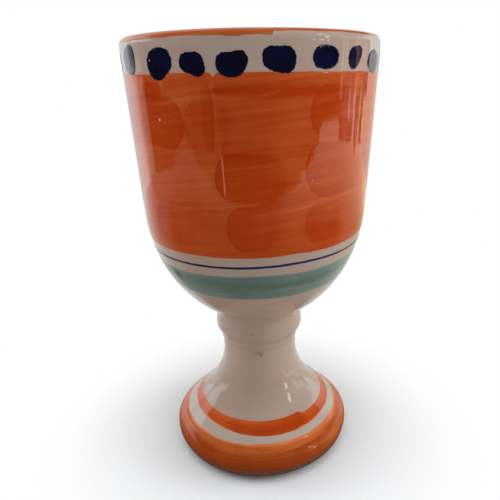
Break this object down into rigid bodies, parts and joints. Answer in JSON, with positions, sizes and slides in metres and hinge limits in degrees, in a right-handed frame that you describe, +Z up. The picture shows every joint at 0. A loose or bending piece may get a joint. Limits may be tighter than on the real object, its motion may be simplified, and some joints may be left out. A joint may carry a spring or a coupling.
{
  "type": "pottery goblet",
  "caption": "Hand-thrown glazed pottery goblet: deep round-bottomed bowl on a short hollow stem with a belled, roll-edged foot, painted with bands of colour and dabs under the rim.",
  "frame": {"origin": "centre of the foot ring, on the surface that the goblet stands on", "axes": "+Z up along the axis that the goblet was thrown about; -Y faces the viewer"},
  "size_m": [0.0922, 0.0922, 0.1655],
  "materials": {
    "white_glaze": "glossy",
    "bare_slip": "matte",
    "orange_glaze": "glossy",
    "green_glaze": "glossy",
    "navy_glaze": "glossy"
  },
  "bodies": {
    "root": {"stem_and_foot": "white_glaze", "joint_slip": "bare_slip", "luting_collar": "white_glaze", "bowl": "white_glaze", "foot_edge_band": "orange_glaze", "foot_stripe": "orange_glaze", "green_band": "green_glaze", "pinstripe": "navy_glaze", "broad_band": "orange_glaze", "rim_line": "orange_glaze", "dab_01": "navy_glaze", "dab_02": "navy_glaze", "dab_03": "navy_glaze", "dab_04": "navy_glaze", "dab_05": "navy_glaze", "dab_06": "navy_glaze", "dab_07": "navy_glaze", "dab_08": "navy_glaze", "dab_09": "navy_glaze", "dab_10": "navy_glaze", "dab_11": "navy_glaze", "dab_12": "navy_glaze", "dab_13": "navy_glaze", "dab_14": "navy_glaze", "dab_15": "navy_glaze", "dab_16": "navy_glaze", "dab_17": "navy_glaze", "dab_18": "navy_glaze", "dab_19": "navy_glaze", "dab_20": "navy_glaze", "dab_21": "navy_glaze"}
  },
  "joints": []
}
